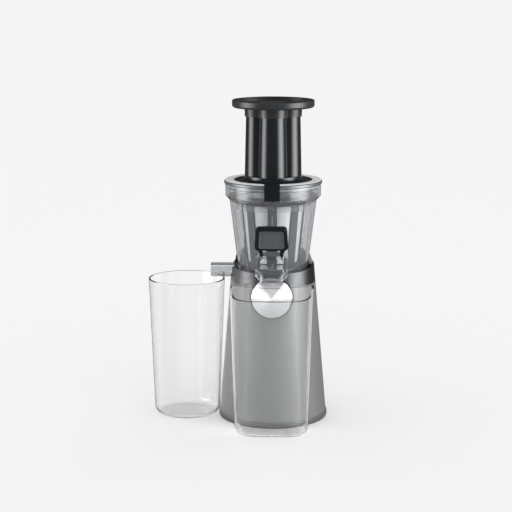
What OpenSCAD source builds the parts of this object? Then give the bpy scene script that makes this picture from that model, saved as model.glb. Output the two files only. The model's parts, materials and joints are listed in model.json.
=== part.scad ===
// Vertical slow juicer: tapered motor base, clear juicing bowl with strainer, spinning brush and auger,
// lid with lobed feed tube and food tray, juice jug in front and pulp container at the left.
// Origin on the table under the auger's axis. +X is the user's right, -Y faces the user, +Z is up.

/* [Base] */
// Outer radius of the housing where it meets the foot ring
base_foot_r = 71.8; // [66:0.1:80]
// How far the base's rim stands out round the bowl's foot
rim_room = 9.8; // [8.6:0.1:14]
// Height of the rim above the table at the sides
rim_z = 211; // [190:1:240]
// How far the housing leans forward, in degrees
base_lean = 2.5; // [0:0.1:3]
// How steeply the rim falls towards the front, in degrees
rim_fall = 5; // [0:0.1:6]
// Height of the brushed collar band
collar_h = 23; // [20:0.5:28]
// Wall of the housing
base_wall = 2.6; // [2:0.1:4]
// Wall of the collar band
collar_wall = 1.7; // [1.2:0.1:2]
// Height of the dark foot ring
foot_h = 9; // [7:0.5:12]
// How far the foot ring stands out from the housing
foot_lip = 1.5; // [0:0.1:3]
// Radius of the rubber feet
pad_r = 6; // [4:0.5:7]

/* [Cradle] */
// Depth of the deck that the bowl stands on, below the rim
deck_drop = 14; // [10:0.5:26]
// Thickness of the deck
deck_t = 3.5; // [2.5:0.5:5]
// How steeply the rear shroud rises behind the bowl, in degrees
shroud_rise = 29; // [10:1:31]

/* [Control dial] */
// Radius of the rotary control dial
dial_r = 26.5; // [18:0.5:27]
// Thickness of the dial at its edge
dial_t = 4; // [3:0.5:5]
// Distance of the dial's upper edge below the rim
dial_drop = 8.5; // [6:0.5:30]

/* [Bowl] */
// Outer radius of the bowl's wall at the deck
bowl_foot_r = 45.1; // [42:0.1:46]
// Outer radius of the bowl's wall under its upper band
bowl_top_r = 57.6; // [54:0.1:60]
// Height of the bowl's wall, from its foot to the upper band
bowl_wall_h = 100.1; // [80:0.1:125]
// Height of the bowl's upper band
band_h = 21.5; // [18:0.5:30]
// How far the upper band stands out from the wall
band_out = 5.6; // [4:0.1:8]
// Wall of the bowl
bowl_wall = 2.6; // [2:0.1:3.5]

/* [Spout and chute] */
// Outside width of the juice spout
spout_w = 42; // [34:1:46]
// Distance of the spout's mouth from the auger axis
spout_reach = 88; // [80:1:94]
// Height of the lowest edge of the spout's mouth above the deck
spout_rise = 5; // [0:0.5:9]
// Outside height of the spout
spout_h = 33.8; // [28:0.1:42]
// Thickness of the spout's roof and floor
spout_wall = 3; // [2:0.5:4]
// Thickness of the spout's sides
spout_side = 6.5; // [3:0.5:7]
// Height of the pulp chute's centre line above the deck
chute_rise = 5.3; // [3:0.1:9]
// Outside radius of the chute's rounded edges
chute_r = 8.5; // [7:0.5:9]
// Distance of the chute's mouth from the auger axis
chute_reach = 83; // [76:1:90]

/* [Lid and feed tube] */
// Outer radius of the trim ring
ring_r = 64.8; // [63.5:0.1:70]
// Inner radius of the trim ring
ring_in_r = 51.4; // [48:0.2:55]
// Thickness of the trim ring
ring_t = 5.2; // [4:0.2:7]
// Height of the feed tube above the bowl
tube_h = 100; // [60:1:140]
// Distance of each lobe's centre from the tube's axis
lobe_c = 18; // [15:0.5:19]
// Radius of each lobe at the top of the tube
lobe_top_r = 17.6; // [15:0.1:20]
// Radius of each lobe at the lid
lobe_low_r = 19.8; // [16:0.1:21]
// Wall of the feed tube
tube_wall = 2.4; // [2:0.1:3.5]

/* [Food tray] */
// Outer radius of the tray
tray_r = 54.2; // [46:0.2:60]
// Depth of the tray from its rim to its underside
tray_h = 9.6; // [8:0.2:14]
// Thickness of the tray's rim and floor
tray_wall = 2.2; // [1.6:0.1:3]
// Height of the sleeve that fits over the feed tube
sleeve_h = 12; // [8:0.5:16]

/* [Juice jug] */
// Outside width of the jug at its rim
jug_w = 109; // [96:1:112]
// Outside width of the jug near its foot
jug_foot_w = 97; // [86:1:100]
// Distance of the jug's front from the auger axis, at the rim
jug_front = 114; // [104:1:126]
// How much nearer the jug's front is at its foot
jug_lean = 8; // [0:0.5:12]
// Gap between the jug's rim and the spout above it
jug_gap = 11; // [8:1:45]
// How much lower the rim is at the front
jug_fall = 9; // [0:0.5:14]
// Wall of the jug and of the pulp container
cup_wall = 2.2; // [1.8:0.1:3]

/* [Pulp container] */
// Outer radius of the container's rim
pulp_r = 51.4; // [46:0.2:56]
// Outer radius of the container near its foot
pulp_foot_r = 44.6; // [40:0.2:48]
// Gap between the container's rim and the chute above it
pulp_gap = 6.8; // [4:0.1:40]
// Radius of the container's rounded foot edge
pulp_round = 10; // [6:0.5:14]
// Direction in which the container stands from the base, in degrees to the rear of the left side
pulp_turn = 4.7; // [0:0.1:12]

/* [Auger and strainer] */
// Room for the brush between the bowl's wall and the strainer, at the strainer's floor
brush_room = 8.5; // [7:0.1:10]
// The same room under the strainer's flange
brush_top_room = 11.5; // [8:0.1:14]
// Width of the strainer's ribs
rib_w = 12; // [8:0.5:13]
// Number of the strainer's ribs
ribs = 8; // [6:2:10]
// How much smaller the auger's core is at its foot than the strainer's floor
core_inset = 9; // [8:0.5:14]
// Radius of the auger's core under its top
core_top_r = 13; // [9:0.5:20]
// Number of turns of the auger's flight
flight_turns = 2.75; // [2:0.25:4]
// Thickness of the flight at its edge
flight_t = 3.4; // [2.5:0.1:5]

/* [Gears] */
// Tooth module of the motor's gear train
gear_m = 0.9; // [0.8:0.05:0.95]
// Teeth on the motor's pinion
motor_teeth = 12; // [10:1:14]
// Teeth on the idler's large gear
idler_teeth = 48; // [46:1:50]
// Teeth on the idler's pinion
idler_pinion_teeth = 14; // [12:1:16]
// Tooth module of the brush drive in the bowl
brush_m = 1.5; // [1.2:0.1:1.6]
// Teeth on the auger's own gear
auger_teeth = 16; // [14:2:18]
// Teeth on the brush pinion
pinion_teeth = 12; // [10:1:13]

/* [Hidden] */
$fn = 64;
// Clearances: between parts of one body, between bodies that move apart, and of a shaft in its bush
snug = 0.1;
clear = 0.4;
run = 0.06;

// Heights and radii that follow from the base and the bowl
base_rim_r = bowl_foot_r + rim_room;
deck_z = rim_z - deck_drop;
dial_z = rim_z - dial_drop - dial_r;
spout_low = deck_z + spout_rise;
spout_top = spout_low + spout_h;
chute_z = deck_z + chute_rise;

// Base
base_slope = (base_foot_r - base_rim_r) / (rim_z - foot_h);
base_tilt = atan(base_slope);
seam_z = rim_z - collar_h;
foot_y = base_mid(foot_h);
foot_r = base_foot_r + foot_lip;
plate_z = 3.5;
plate_t = 3;
plate_r = base_foot_r - base_wall - 0.8;
post_r = 4.5;
post_c = plate_r - post_r - 3;
post_z = plate_z + plate_t + 0.05;
post_h = 22;
screw_r = 1.5;
screw_head_r = 3;
pad_t = 2.2;
pad_c = plate_r - pad_r - 1.5;
cord_z = 30;
board_z = plate_z + plate_t + 4;

// Gearbox, from the bottom up
gb_z = deck_z - 59;
gb_plate_t = 4;
gear_play = 0.25;
gear_w = 6;
output_teeth = motor_teeth + idler_teeth - idler_pinion_teeth;
gear_axis = (motor_teeth + idler_teeth) * gear_m / 2;
stage1_z = gb_z + gb_plate_t + 2;
stage2_z = stage1_z + gear_w + 2;
cover_z = stage2_z + gear_w + 4;
cover_t = 3;
cover_wall = 2.2;
cover_r = (output_teeth / 2 + 1) * gear_m + 1.4 + cover_wall;
cover_idler_r = (idler_teeth / 2 + 1) * gear_m + 1 + cover_wall;
ear_t = 5;
ear_out = 7;
shaft_r = 6;
hex_r = 6;
hex_z = deck_z - 1;
hex_top = deck_z + 26;

// Motor
motor_r = 36;
motor_low = 34;
motor_high = gb_z;
rotor_r = 19;
rotor_shaft_r = 4;
bearing_w = 7;

// Dial
dial_gap = 2;
dial_shaft_r = 4;

// Cradle
cradle_r = base_rim_r - collar_wall - 0.6;
chute_flat = 5;
sleeve_t = 0.8;
slot_gap = sleeve_t + clear;
slot_wall = 2.2;

// Bowl
bowl_z = deck_z + clear;
floor_t = 4.1;
floor_z = bowl_z + floor_t;
band_z = bowl_z + bowl_wall_h;
band_r = bowl_top_r + band_out;
band_in_r = band_r - bowl_wall;
bowl_top = band_z + band_h;
ledge_z = band_z + 3.4;
bowl_slope = (bowl_top_r - bowl_foot_r) / (band_z - bowl_z);

// Brush drive in the bowl
ring_teeth = auger_teeth + 2 * pinion_teeth;
pinion_axis = (auger_teeth + pinion_teeth) * brush_m / 2;
brush_play = 0.4;
brush_z = floor_z + 0.7;
brush_gear_w = 5;
arms = 3;
arm_w = 10;
arm_t = 3;

// Strainer
strainer_z = brush_z + brush_gear_w + 1;
strainer_foot_r = bowl_foot_r - bowl_wall - brush_room;
strainer_top_r = bowl_top_r - bowl_wall - brush_top_room;
strainer_floor_t = 2.5;
strainer_wall = 2;
mesh_t = 0.6;
flange_t = 2.5;
strainer_slope = (strainer_top_r - strainer_foot_r) / (ledge_z - strainer_z);
sun_tip = (auger_teeth / 2 + 0.8) * brush_m;

// Auger
auger_z = floor_z + clear;
flight_z = strainer_z + strainer_floor_t + 3;
flight_top = ledge_z - 5;
core_foot_r = strainer_foot_r - core_inset;
pin_r = 4;
pin_top = bowl_top + 4;

// Lid
lid_z = bowl_top + 0.3;
tube_top = lid_z + tube_h;
ring_top = lid_z + ring_t;
plug_r = band_in_r - 0.35;
plug_h = 3.4;
lid_top = ring_top - 1.6;
tab_w = 20;
tab_t = 2.2;
tab_in_r = max(band_r, ring_r) + 0.5;
spider_z = lid_z - 2.5;
spider_t = 6;
bush_r = 6;

// Tray
tray_z = tube_top + 0.3;
tray_top = tray_z + tray_h;

// Spout cap
cap_gap = 0.4;
cap_w = spout_w + 1;
cap_top_w = spout_w - 2;
cap_t = 6;
cap_round = 5;
hinge_up = 3.4;
hinge_y = -(spout_reach + cap_gap + 1);
hinge_z = spout_top + hinge_up;
hinge_r = 1.6;
lug_w = 4.5;
lug_x = spout_w / 2 - 12.7;
lug_r = 3.4;
// the cap's lower and upper edges: closed, they reach from the spout's roof to its floor
cap_low = hinge_z + hinge_up + 1.6;
cap_high = hinge_z + hinge_up + spout_h - 0.8;
arm_x = lug_x + lug_w / 2 + clear;
cap_arm_w = 4;
cap_arm_r = 3;
pad_low = cap_low + 2.5;
pad_high = cap_high - 6.5;
pad_w = cap_w - 10;
pad_top_w = cap_top_w - 9;
pad_round = 2.5;
// the drip comb fills the gap between the lugs
comb_w = 2 * (lug_x - lug_w / 2 - snug);
comb_t = 4;
comb_low = spout_top - 12.2;
comb_knuckle_r = cap_low - hinge_z - 0.6;

// Jug and pulp container: the jug's hollow back clears the foot ring and the dial's edge
dial_reach = norm([dial_r, foot_y - wall_y(dial_z, -1) + dial_gap + dial_t]);
nest_r = max(foot_r + 4.4, dial_reach + 1.6);
jug_h = spout_low - jug_gap;
pulp_h = chute_z - chute_r - pulp_gap;
pulp_c = max(foot_r + pulp_foot_r - clear, cone_r(pulp_h) + pulp_r + 2);

// Radius of the housing's cone at height z along its own leaning axis
function cone_r(z) = base_foot_r - (z - foot_h) * base_slope;
// Where the housing's wall stands at height z: side is -1 at the front and 1 at the rear
function wall_y(z, side) = side * (base_rim_r * cos(base_lean)
    + (rim_z + side * base_rim_r * sin(base_lean) - z) * tan(base_tilt + side * base_lean));
function base_mid(z) = (wall_y(z, 1) + wall_y(z, -1)) / 2;
function base_r(z) = (wall_y(z, 1) - wall_y(z, -1)) / 2;
function base_in(z) = base_r(z) - base_wall;
function bowl_r(z) = bowl_foot_r + (z - bowl_z) * bowl_slope;
function bowl_in(z) = bowl_r(z) - bowl_wall;
function strainer_r(z) = strainer_foot_r + (z - strainer_z) * strainer_slope;
function brush_out(z) = (strainer_r(z) + bowl_in(z)) / 2 + arm_t / 2;
function lobe_r(z) = lobe_low_r + (lobe_top_r - lobe_low_r) * (z - lid_z) / (tube_top - lid_z);

// Angle in degrees by which an involute has turned where it reaches radius r
function involute(r, base) = r <= base ? 0 : tan(acos(base / r)) * 180 / PI - acos(base / r);
// Half the angle that a tooth takes at radius r
function half_tooth(r, teeth, m, play) =
    90 / teeth - play / (m * teeth) * 90 / PI
    + involute(m * teeth / 2, m * teeth / 2 * cos(20))
    - involute(r, m * teeth / 2 * cos(20));

// ---------- shared shapes ----------

// A tapered pipe from z0 to z1 whose outer radius is r0 at z0 and r1 at z1
module cone_shell(z0, z1, r0, r1, t) {
    rotate_extrude($fn = 96) polygon([[r0 - t, z0], [r0, z0], [r1, z1], [r1 - t, z1]]);
}

// A straight pipe
module tube(z0, z1, r, bore) {
    translate([0, 0, z0]) difference() {
        cylinder(h = z1 - z0, r = r);
        translate([0, 0, -1]) cylinder(h = z1 - z0 + 2, r = bore);
    }
}

// Outline of a spur gear with one tooth centred on +X
module gear_outline(teeth, m, add, ded, play) {
    pitch = m * teeth / 2;
    radii = [pitch - ded * m, pitch, pitch + add * m];
    polygon([for (i = [0:teeth - 1]) for (s = [-1, 1]) for (k = [0:2])
        let (r = radii[s < 0 ? k : 2 - k], a = i * 360 / teeth + s * half_tooth(r, teeth, m, play))
        [r * cos(a), r * sin(a)]]);
}

// A gear with a bore, standing on z
module spur_gear(z, h, teeth, m, add, ded, play, bore, phase) {
    translate([0, 0, z]) difference() {
        rotate(phase) linear_extrude(h) gear_outline(teeth, m, add, ded, play);
        translate([0, 0, -1]) cylinder(h = h + 2, r = bore);
    }
}

// Everything above the rim: a plane that falls towards the front and climbs steeply at the rear
module above_rim(lift) {
    size = 400;
    translate([0, 0, rim_z + lift]) {
        rotate([rim_fall, 0, 0]) translate([-size / 2, -size, 0]) cube([size, size, size]);
    }
}

// Everything above a plane that climbs to the rear from the rim at the sides
module above_rear(rise, lift) {
    size = 400;
    translate([0, 0, rim_z + lift]) {
        rotate([rise, 0, 0]) translate([-size / 2, 0, 0]) cube([size, size, size]);
    }
}

// The housing's cone between two heights, leaning forward about the middle of its rim
module leaning_shell(z0, z1, t) {
    intersection() {
        translate([0, 0, rim_z]) rotate([base_lean, 0, 0]) translate([0, 0, -rim_z]) {
            cone_shell(z0 - 6, z1 + 6, cone_r(z0 - 6), cone_r(z1 + 6), t);
        }
        translate([-100, -100, z0]) cube([200, 200, z1 - z0]);
    }
}

// The solid inside of that cone, drawn in or let out by grow
module leaning_core(grow) {
    top = rim_z + 60;
    translate([0, 0, rim_z]) rotate([base_lean, 0, 0]) translate([0, 0, -rim_z]) {
        cylinder(h = top, r1 = cone_r(0) + grow, r2 = cone_r(top) + grow, $fn = 180);
    }
}

// Pulp chute along -X: a pipe with rounded edges and flat top and bottom
module chute_solid(r, from, to) {
    translate([-to, 0, chute_z]) rotate([0, 90, 0]) linear_extrude(to - from) {
        for (y = [-chute_flat, chute_flat]) translate([0, y]) circle(r = r);
        translate([-r, -chute_flat]) square([2 * r, 2 * chute_flat]);
    }
}

// The room that the chute comes down through, open at the top
module chute_slot(gap, from, to) {
    r = chute_r + gap;
    w = 2 * (chute_flat + r);
    chute_solid(r, from, to);
    translate([-to, -w / 2, chute_z]) cube([to - from, w, 120]);
}

// Four equal lobes round the feed tube's axis
module lobes(z0, z1, r0, r1) {
    for (a = [0:90:270]) {
        rotate(a) translate([lobe_c, 0, z0]) cylinder(h = z1 - z0, r1 = r0, r2 = r1);
    }
    side = 2 * lobe_c;
    translate([-side / 2, -side / 2, z0]) cube([side, side, z1 - z0]);
}

// Places its children on the dial's axis, which leans back with the housing's wall
module on_dial() {
    translate([0, wall_y(dial_z, -1), dial_z]) rotate([90 - base_tilt + base_lean, 0, 0]) children();
}

// Places its children on the cord gland's axis, square to the rear wall
module on_rear() {
    translate([0, wall_y(cord_z, 1), cord_z]) rotate([-90 + base_tilt + base_lean, 0, 0]) children();
}

// The four places of the bottom screws
module at_posts() {
    translate([0, foot_y, 0]) for (a = [45:90:315]) rotate(a) translate([post_c, 0, 0]) children();
}

// The four places of the rubber feet, between the screws
module at_feet() {
    translate([0, foot_y, 0]) for (a = [0:90:270]) rotate(a) translate([pad_c, 0, 0]) children();
}

// The four screws round the gearbox cover, two at each end
module at_gearbox_screws() {
    for (side = [-1, 1]) {
        rotate(-90 + side * 50) translate([cover_r + ear_out, 0, 0]) children();
        translate([0, gear_axis, 0]) rotate(90 + side * 70) {
            translate([cover_idler_r + ear_out, 0, 0]) children();
        }
    }
}

// ---------- base ----------

module foot_ring() {
    inner = plate_r - 14;
    color("#3b3e42") difference() {
        translate([0, foot_y, 0]) rotate_extrude($fn = 96) polygon([
            [inner, 0], [foot_r - 2.8, 0], [foot_r - 0.8, 1.2], [foot_r, 3.2],
            [foot_r, foot_h - 2], [foot_r - 0.9, foot_h - 0.5], [foot_r - 1.9, foot_h],
            [plate_r + 0.2, foot_h], [plate_r + 0.2, plate_z], [inner, plate_z]]);
        at_posts() translate([0, 0, -1]) cylinder(h = 3, r = screw_head_r + 0.3);
        at_posts() translate([0, 0, -1]) cylinder(h = 8, r = screw_r + 0.3);
        at_feet() translate([0, 0, -1]) cylinder(h = pad_t + snug + 1, r = pad_r + snug);
    }
}

// Four feet let into the foot ring, level with its underside, each with a shallow dish
module rubber_feet() {
    dish = 0.6;
    color("#18191b") at_feet() difference() {
        cylinder(h = pad_t, r = pad_r);
        translate([0, 0, -1]) cylinder(h = dish + 1, r = pad_r - 2);
    }
}

module bottom_plate() {
    slots = 9;
    pitch = 6;
    color("#2c2e31") difference() {
        union() {
            translate([0, foot_y, plate_z]) cylinder(h = plate_t, r = plate_r);
            for (x = [-17, 17]) for (y = [-12, 12]) {
                translate([x, y, plate_z + plate_t - 0.01]) cylinder(h = board_z - plate_z - plate_t, r = 3);
            }
        }
        at_posts() translate([0, 0, plate_z - 1]) cylinder(h = plate_t + 2, r = screw_r + 0.3);
        // air slots under the motor's fan
        for (i = [0:slots - 1]) translate([(i - (slots - 1) / 2) * pitch - 1.4, 32, plate_z - 1]) {
            cube([2.8, 26, plate_t + 2]);
        }
    }
}

module bottom_screws() {
    color("#9a9ea3") at_posts() {
        translate([0, 0, 0.5]) cylinder(h = 1.5, r = screw_head_r);
        translate([0, 0, 1.9]) cylinder(h = 14, r = screw_r);
    }
}

module base_housing() {
    color("#8f9496") difference() {
        union() {
            leaning_shell(foot_h, seam_z, base_wall);
            // ledge that carries the gearbox plate
            intersection() {
                leaning_core(-1);
                difference() {
                    translate([0, base_mid(gb_z), gb_z - 4]) cylinder(h = 4, r = base_r(gb_z) + 5);
                    translate([0, base_mid(gb_z), gb_z - 5]) cylinder(h = 6, r = base_in(gb_z) - 5);
                }
            }
            // posts for the bottom screws
            at_posts() translate([0, 0, post_z]) cylinder(h = post_h, r = post_r);
            intersection() {
                at_posts() translate([0, -1.5, foot_h + 1]) cube([12, 3, post_h - 6]);
                leaning_core(-1);
            }
        }
        at_posts() translate([0, 0, post_z - 1]) cylinder(h = 13, r = screw_r + 0.05);
        on_dial() translate([0, 0, -20]) cylinder(h = 40, r = 7);
        on_rear() translate([0, 0, -12]) cylinder(h = 24, r = 7);
    }
}

module base_collar() {
    color("#a9adaf") difference() {
        leaning_shell(seam_z + snug, rim_z + 12, collar_wall);
        above_rim(0);
        above_rear(rim_fall, 0);
        chute_slot(slot_gap + slot_wall + 0.2, 30, 100);
    }
}

module bowl_cradle() {
    inner = bowl_foot_r + clear + 0.3;
    rear_top = rim_z + cradle_r * tan(shroud_rise) + 2;
    low = chute_z - chute_r - slot_gap - slot_wall;
    color("#111214") difference() {
        union() {
            translate([0, 0, deck_z - deck_t]) cylinder(h = rear_top - deck_z + deck_t, r = cradle_r);
            translate([0, 0, deck_z - 13]) cylinder(h = 12, r = 13);
            // trough and lip round the pulp chute
            intersection() {
                chute_slot(slot_gap + slot_wall, bowl_foot_r - 14, base_rim_r + 1.8);
                translate([0, 0, low - 1]) cylinder(h = rim_z - low, r = base_rim_r + 1);
            }
        }
        // the room that the bowl stands in
        translate([0, 0, deck_z]) {
            cylinder(h = rear_top, r1 = inner, r2 = inner + rear_top * bowl_slope);
        }
        difference() {
            translate([0, 0, deck_z]) cylinder(h = 60, r = cradle_r - 1.5);
            translate([-100, 0, 0]) cube([200, 100, 300]);
        }
        above_rim(-0.8);
        above_rear(shroud_rise, -0.8);
        chute_slot(slot_gap, bowl_foot_r - 12, 100);
        translate([0, 0, deck_z - 14]) cylinder(h = 20, r = 9);
    }
}

module cord_gland() {
    color("#1c1d1f") on_rear() difference() {
        union() {
            translate([0, 0, -8]) cylinder(h = 10, r = 6.8);
            translate([0, 0, 0.8]) cylinder(h = 2, r = 9);
        }
        translate([0, 0, -9]) cylinder(h = 16, r = 3.6);
    }
}

module control_board() {
    board_t = 1.6;
    top = board_z + board_t - 0.1;
    color("#2f6b46") translate([-24, -18, board_z]) cube([48, 36, board_t]);
    color("#202225") translate([-20, -12, top]) cube([16, 12, 9]);
    color("#202225") translate([4, -12, top]) cube([14, 22, 12]);
    color("#c7a24a") translate([-12, 9, top]) cylinder(h = 12, r = 5);
}

// ---------- drive ----------

module motor_case() {
    color("#70767c") difference() {
        translate([0, 0, motor_low]) cylinder(h = motor_high - motor_low, r = motor_r);
        translate([0, 0, motor_low + 10]) cylinder(h = motor_high - motor_low - 20, r = rotor_r + 0.6);
        translate([0, 0, motor_low - 1]) cylinder(h = motor_high - motor_low + 2, r = rotor_shaft_r + 1.5);
        translate([0, 0, motor_low - 0.01]) cylinder(h = bearing_w, r = 11);
        translate([0, 0, motor_high - bearing_w]) cylinder(h = bearing_w + 1, r = 11);
        for (a = [0:30:330]) rotate(a) {
            translate([motor_r - 1.5, -3, motor_low + 18]) cube([4, 6, motor_high - motor_low - 36]);
        }
    }
}

module motor_bearings() {
    color("#b9bdc1") for (z = [motor_low, motor_high - bearing_w]) {
        tube(z + 0.1, z + bearing_w - 0.1, 10.9, rotor_shaft_r + run);
    }
}

module motor_rotor() {
    color("#8b6b4a") {
        translate([0, 0, motor_low + 10.5]) cylinder(h = motor_high - motor_low - 21, r = rotor_r);
        translate([0, 0, motor_low - 2]) {
            cylinder(h = stage1_z + gear_w + 1 - motor_low + 2, r = rotor_shaft_r);
        }
        translate([0, 0, stage1_z - 0.5]) rotate(90) linear_extrude(gear_w + 1.5) {
            gear_outline(motor_teeth, gear_m, 0.75, 1.15, gear_play);
        }
    }
}

module gearbox_plate() {
    r = base_in(gb_z + gb_plate_t) - 0.5;
    color("#5d6266") difference() {
        translate([0, base_mid(gb_z), gb_z]) cylinder(h = gb_plate_t, r = r);
        translate([0, 0, gb_z - 1]) cylinder(h = gb_plate_t + 2, r = rotor_shaft_r + 3);
        translate([0, gear_axis, gb_z - 1]) cylinder(h = gb_plate_t + 2, r = 2.5);
        at_gearbox_screws() translate([0, 0, gb_z - 1]) cylinder(h = gb_plate_t + 2, r = screw_r + 0.1);
    }
}

module gearbox_cover() {
    z0 = gb_z + gb_plate_t + snug;
    color("#6a7074") difference() {
        union() {
            translate([0, 0, z0]) cylinder(h = cover_z + cover_t - z0, r = cover_r);
            translate([0, gear_axis, z0]) cylinder(h = cover_z + cover_t - z0, r = cover_idler_r);
            translate([0, 0, cover_z]) cylinder(h = 10, r = 14);
            at_gearbox_screws() {
                translate([0, 0, z0]) cylinder(h = ear_t, r = 5);
                translate([-ear_out - 1, -5, z0]) cube([ear_out + 1, 10, ear_t]);
            }
        }
        translate([0, 0, z0 - 1]) cylinder(h = cover_z - z0 + 1, r = cover_r - cover_wall);
        translate([0, gear_axis, z0 - 1]) cylinder(h = cover_z - z0 + 1, r = cover_idler_r - cover_wall);
        translate([0, 0, cover_z - 1]) cylinder(h = 20, r = 11.1);
        translate([0, gear_axis, cover_z - 1]) cylinder(h = cover_t + 2, r = 2.5);
        at_gearbox_screws() translate([0, 0, z0 - 1]) cylinder(h = 8, r = screw_r + 0.1);
    }
}

module gearbox_screws() {
    top = gb_z + gb_plate_t + snug + ear_t;
    color("#9a9ea3") at_gearbox_screws() {
        translate([0, 0, top]) cylinder(h = 2, r = screw_head_r);
        translate([0, 0, gb_z + 0.4]) cylinder(h = top - gb_z - 0.39, r = screw_r);
    }
}

module idler_axle() {
    color("#c9ccd0") translate([0, gear_axis, gb_z + 0.5]) {
        cylinder(h = cover_z + cover_t - gb_z - 1, r = 2.45);
    }
}

module idler_gear() {
    gap = 180 / idler_teeth;
    color("#d9d2be") translate([0, gear_axis, 0]) difference() {
        union() {
            translate([0, 0, stage1_z]) rotate(-90 + gap) linear_extrude(gear_w) {
                gear_outline(idler_teeth, gear_m, 0.75, 1.15, gear_play);
            }
            translate([0, 0, stage1_z]) rotate(-90) linear_extrude(2 * gear_w + 3) {
                gear_outline(idler_pinion_teeth, gear_m, 0.75, 1.15, gear_play);
            }
        }
        translate([0, 0, stage1_z - 1]) cylinder(h = 3 * gear_w, r = 2.45 + run);
    }
}

module output_bearing() {
    color("#b9bdc1") tube(cover_z + 0.2, cover_z + 9, 11, shaft_r + run);
}

module deck_bush() {
    color("#b08d4a") tube(deck_z - 13, deck_z - 5, 8.95, shaft_r + run);
}

module shaft_seal() {
    color("#2a2c2f") tube(deck_z - 4.8, deck_z - 0.2, 8.95, shaft_r + run);
}

module drive_shaft() {
    gap = 180 / output_teeth;
    color("#c9ccd0") {
        translate([0, 0, stage2_z]) rotate(90 + gap) linear_extrude(gear_w) {
            gear_outline(output_teeth, gear_m, 0.75, 1.15, gear_play);
        }
        translate([0, 0, stage2_z]) cylinder(h = hex_z - stage2_z, r = shaft_r);
        translate([0, 0, hex_z - 0.01]) cylinder(h = hex_top - hex_z, r = hex_r, $fn = 6);
    }
}

// ---------- control ----------

module dial_bezel() {
    color("#1d1f22") difference() {
        on_dial() translate([0, 0, -16]) cylinder(h = 16 + dial_gap - clear, r = dial_r + 1.4);
        leaning_core(snug);
        on_dial() translate([0, 0, -20]) cylinder(h = 40, r = dial_shaft_r + run);
    }
}

module rotary_switch() {
    color("#24262a") on_dial() difference() {
        translate([-10, -10, -20]) cube([20, 20, 15.6]);
        translate([0, 0, -15]) cylinder(h = 20, r = dial_shaft_r + run);
    }
}

module control_dial() {
    crown = 1.8;
    steps = 6;
    face = dial_r - 1.2;
    color("#e3e6e9") on_dial() {
        rotate_extrude($fn = 96) polygon(concat(
            [[0, dial_gap], [dial_r - 0.8, dial_gap], [dial_r, dial_gap + 0.8],
                [dial_r, dial_gap + dial_t - 1.2]],
            [for (i = [0:steps]) let (r = face * (1 - i / steps))
                [r, dial_gap + dial_t + crown * (1 - pow(r / face, 2))]]));
        translate([0, 0, -14.6]) cylinder(h = 17, r = dial_shaft_r);
    }
}

// ---------- bowl ----------

// Front outline of the spout, seen along Y, drawn in by inset at roof and floor and by side at the sides
module spout_front(inset, side) {
    w = spout_w / 2 - side;
    cut = 9 - inset * 0.4;
    polygon([[-w, spout_top - inset - 3], [-w + 3, spout_top - inset], [w - 3, spout_top - inset],
        [w, spout_top - inset - 3], [w, spout_low + inset + cut], [w - cut, spout_low + inset],
        [-w + cut, spout_low + inset], [-w, spout_low + inset + cut]]);
}

// Side outline of the spout, seen along X: level floor from the bowl, then a lip that dips to the mouth
module spout_side(inset, back, ahead) {
    low = spout_low + inset;
    rise = 12;
    polygon([[-back, spout_top - inset], [-spout_reach - ahead, spout_top - inset],
        [-spout_reach - ahead, low], [-spout_reach + 4 + inset * 0.4, low],
        [-spout_reach + 4 + rise + inset * 0.4, low + rise], [-back, low + rise]]);
}

module spout_solid(inset, side, back, ahead) {
    intersection() {
        rotate([90, 0, 0]) linear_extrude(200) spout_front(inset, side);
        translate([-60, 0, 0]) rotate([90, 0, 90]) linear_extrude(120) spout_side(inset, back, ahead);
    }
}

module bowl() {
    color("#b8bfc4", 0.45) difference() {
        union() {
            rotate_extrude($fn = 96) polygon([[0, bowl_z], [bowl_foot_r - 2, bowl_z],
                [bowl_r(bowl_z + 2), bowl_z + 2], [bowl_top_r, band_z], [band_r, band_z + 6],
                [band_r, bowl_top], [0, bowl_top]]);
            spout_solid(0, 0, 40, 0);
            chute_solid(chute_r, bowl_foot_r - 9, chute_reach);
            // lugs for the cap's hinge pin
            for (x = [-lug_x, lug_x]) translate([x - lug_w / 2, hinge_y, hinge_z]) {
                rotate([0, 90, 0]) cylinder(h = lug_w, r = lug_r);
                translate([0, 0, spout_top - 1 - hinge_z]) cube([lug_w, 8, hinge_z + 2 - spout_top]);
            }
        }
        // inside of the bowl, with a ledge for the strainer's flange
        rotate_extrude($fn = 96) polygon([[0, floor_z], [bowl_in(floor_z), floor_z],
            [bowl_in(ledge_z), ledge_z], [band_in_r, ledge_z], [band_in_r, bowl_top + 1], [0, bowl_top + 1]]);
        spout_solid(spout_wall, spout_side, 38, 2);
        // notch in the spout's roof for the drip comb
        translate([-comb_w / 2 - snug, -spout_reach - 1, spout_top - spout_wall - 1]) {
            cube([comb_w + 2 * snug, comb_t + snug + 1, spout_wall + 2]);
        }
        // the lugs stay behind the closed cap
        translate([-30, -spout_reach - 10, spout_top - 20]) cube([60, 10, 20]);
        chute_solid(chute_r - bowl_wall, bowl_foot_r - 6, chute_reach + 2);
        translate([0, 0, bowl_z - 1]) cylinder(h = floor_t + 2, r = 10);
        translate([-30, hinge_y, hinge_z]) rotate([0, 90, 0]) cylinder(h = 60, r = hinge_r);
    }
    // stub that the brush pinion turns on
    color("#b8bfc4", 0.45) translate([0, pinion_axis, floor_z - 0.5]) {
        cylinder(h = brush_gear_w + 1.2, r = 2.5);
    }
}

module bowl_seal() {
    color("#5b5f63") tube(bowl_z + 0.4, floor_z - 0.2, 9.95, hex_r + 1.2);
}

// Black silicone sleeve round the chute, between the bowl and the base's slot
module chute_seal() {
    color("#141517") difference() {
        chute_solid(chute_r + sleeve_t, bowl_foot_r + 2, bowl_foot_r + 6);
        chute_solid(chute_r + 0.05, 30, 90);
    }
}

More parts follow.
